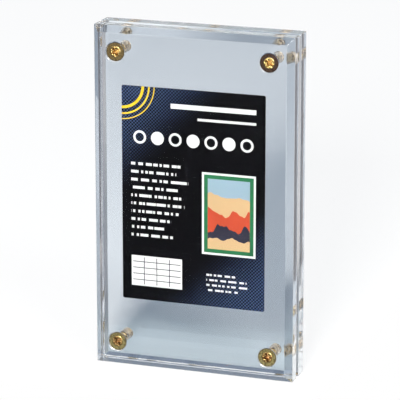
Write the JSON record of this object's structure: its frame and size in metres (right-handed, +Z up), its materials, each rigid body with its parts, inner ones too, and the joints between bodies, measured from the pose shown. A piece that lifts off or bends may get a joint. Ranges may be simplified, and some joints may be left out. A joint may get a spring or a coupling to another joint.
{
  "type": "trading card display case",
  "caption": "Two thick clear plates, the front one bevelled, clamped on a printed card by flat-head brass screws near the corners.",
  "frame": {"origin": "on the table, under the middle of the case", "axes": "+X to the right, +Y to the back, +Z up; the bevelled face with the screw heads looks along -Y"},
  "size_m": [0.0888, 0.0194, 0.1495],
  "materials": {
    "clear_acrylic": "clear polished acrylic",
    "printed_card": "printed card, satin ink",
    "brass": "turned brass, lightly dulled"
  },
  "bodies": {
    "back_plate": {"back_plate": "clear_acrylic"},
    "front_plate": {"front_plate": "clear_acrylic"},
    "insert_card": {"insert_card": "printed_card"},
    "screw_top_left": {"screw_top_left": "brass"},
    "screw_top_right": {"screw_top_right": "brass"},
    "screw_bottom_left": {"screw_bottom_left": "brass"},
    "screw_bottom_right": {"screw_bottom_right": "brass"}
  },
  "joints": [
    {"name": "front_plate_lift", "type": "slide", "parent": "back_plate", "child": "front_plate", "axis": [0, -1, 0], "range_m": [0, 0.04]},
    {"name": "insert_card_lift", "type": "slide", "parent": "back_plate", "child": "insert_card", "axis": [0, -1, 0], "range_m": [0, 0.02]},
    {"name": "screw_top_left_turn", "type": "hinge", "parent": "front_plate", "child": "screw_top_left", "pos_m": [-0.03395, -0.00973, 0.1387], "axis": [0, -1, 0], "continuous": true},
    {"name": "screw_top_right_turn", "type": "hinge", "parent": "front_plate", "child": "screw_top_right", "pos_m": [0.03395, -0.00973, 0.1387], "axis": [0, -1, 0], "continuous": true},
    {"name": "screw_bottom_left_turn", "type": "hinge", "parent": "front_plate", "child": "screw_bottom_left", "pos_m": [-0.03395, -0.00973, 0.0108], "axis": [0, -1, 0], "continuous": true},
    {"name": "screw_bottom_right_turn", "type": "hinge", "parent": "front_plate", "child": "screw_bottom_right", "pos_m": [0.03395, -0.00973, 0.0108], "axis": [0, -1, 0], "continuous": true}
  ],
  "couplings": [
    {"joint": "insert_card_lift", "follows": "front_plate_lift", "ratio": 0.5}
  ]
}
